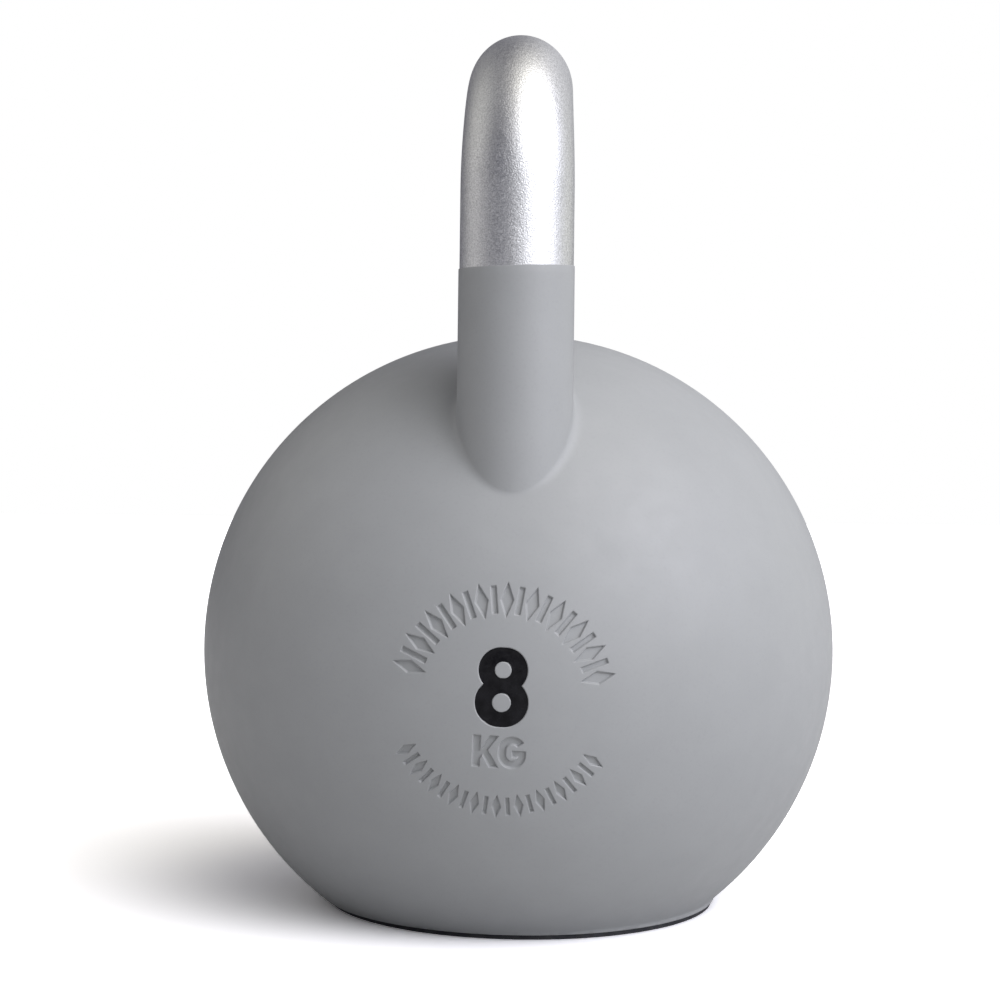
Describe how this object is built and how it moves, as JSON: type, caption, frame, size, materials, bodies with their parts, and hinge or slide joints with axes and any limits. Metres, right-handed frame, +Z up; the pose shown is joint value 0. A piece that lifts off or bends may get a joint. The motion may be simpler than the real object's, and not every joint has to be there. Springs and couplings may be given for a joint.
{
  "type": "kettlebell",
  "caption": "Competition-style kettlebell: hollow steel ball with a flat base, a bent round steel bar handle and a debossed mass marking.",
  "frame": {"origin": "right under the ball's centre, on the surface that the kettlebell stands on", "axes": "+Z up through the ball's centre to the grip, -Y towards the marked face, X through the handle's window"},
  "size_m": [0.21, 0.21, 0.2795],
  "materials": {
    "grey_paint": "satin grey powder coat with a fine orange peel, over steel",
    "bare_steel": "bead-blasted bare steel with a fine bright grain",
    "weld_steel": "weld metal ground to a smooth fillet",
    "black_enamel": "semi-gloss black enamel filling",
    "cut_steel": "plain machined steel",
    "copper": "soft copper sealing washer",
    "steel_shot": "fine steel shot set in resin",
    "black_rubber": "matt black rubber"
  },
  "bodies": {
    "root": {"body_shell": "grey_paint", "handle_bar": "bare_steel", "front_horn_weld": "weld_steel", "rear_horn_weld": "weld_steel", "front_horn_coat": "grey_paint", "rear_horn_coat": "grey_paint", "number_infill": "black_enamel", "base_plate": "cut_steel", "base_plate_weld": "weld_steel", "filler_plug": "cut_steel", "plug_seal": "copper", "ballast": "steel_shot", "base_pad": "black_rubber"}
  },
  "joints": []
}
